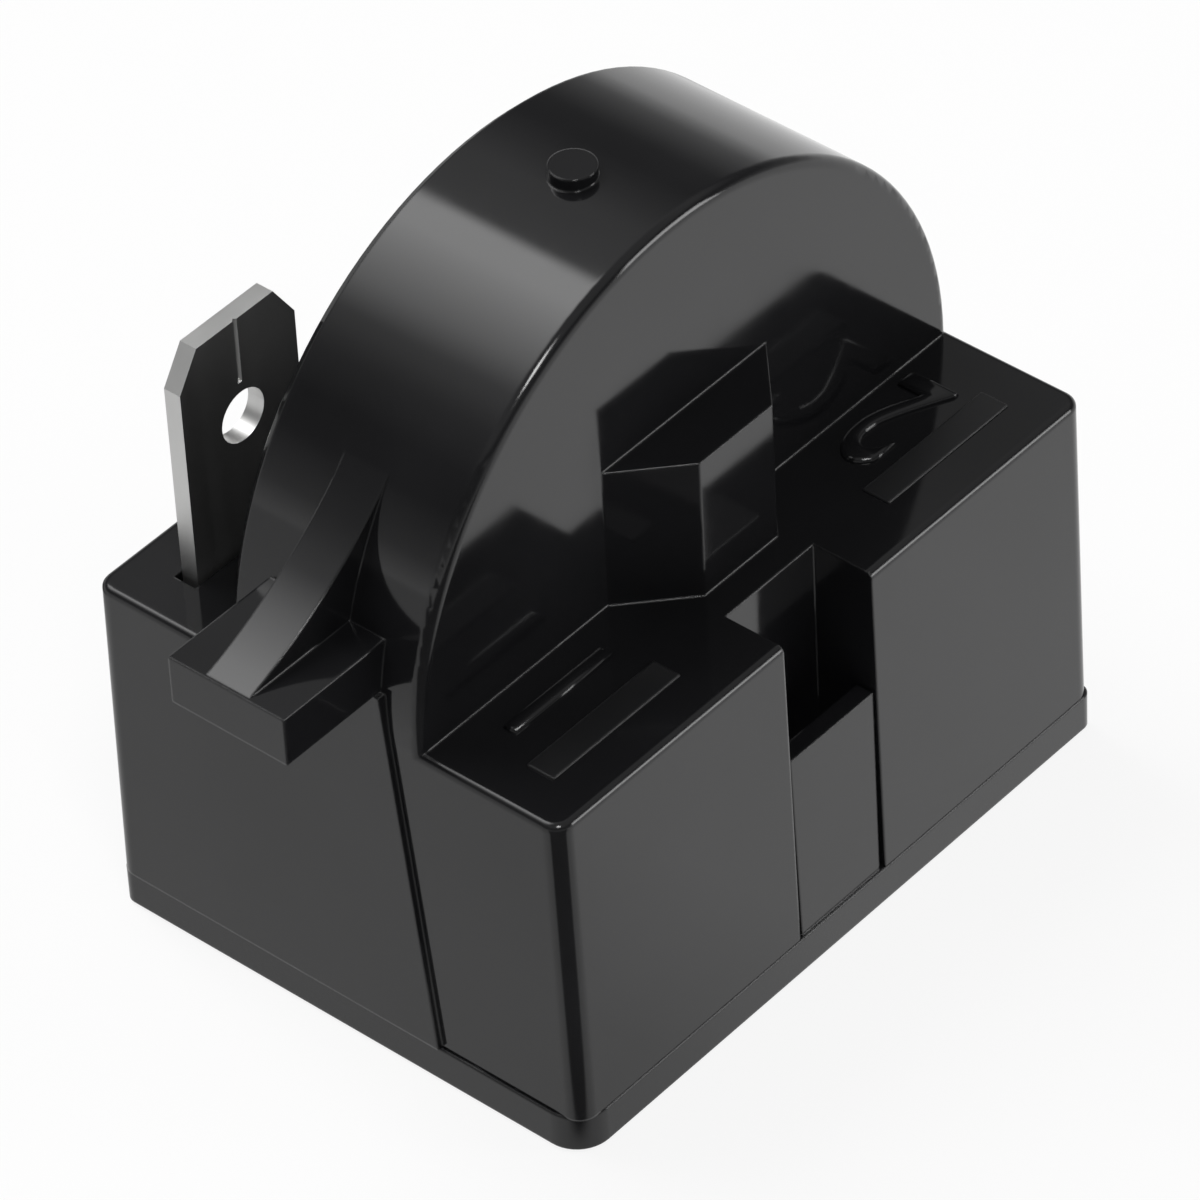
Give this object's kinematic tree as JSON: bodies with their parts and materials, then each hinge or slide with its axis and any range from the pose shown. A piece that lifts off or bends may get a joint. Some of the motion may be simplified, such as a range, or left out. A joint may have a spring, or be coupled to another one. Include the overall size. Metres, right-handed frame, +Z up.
{
  "type": "compressor start relay",
  "caption": "Plug-on start relay with a moulded box, half-round dome over a thermistor pill, side arm with gusset, upright tab terminal and sockets for compressor pins.",
  "frame": {"origin": "on the flat underside, midway between the axes of the two pin sockets", "axes": "+X along the line of the two pins, away from the arm; -Y towards the front, where the wedge-shaped rib is; +Z up, away from the compressor"},
  "size_m": [0.0358, 0.0234, 0.0325],
  "materials": {
    "housing_plastic": "polished black moulding",
    "cover_plastic": "polished black moulding",
    "pill_ceramic": "matt, silvered faces",
    "spring_steel": "rolled strip",
    "socket_brass": "rolled strip",
    "clip_steel": "rolled strip",
    "tinned_strip": "bright, tin plated",
    "rivet_brass": "plain"
  },
  "bodies": {
    "root": {"housing": "housing_plastic", "base_cover": "cover_plastic", "ptc_pill": "pill_ceramic", "start_contact": "spring_steel", "main_contact": "spring_steel", "start_pin_socket": "socket_brass", "main_pin_socket": "socket_brass", "start_socket_clip": "clip_steel", "main_socket_clip": "clip_steel", "tab_terminal": "tinned_strip", "terminal_rivet": "rivet_brass"}
  },
  "joints": []
}
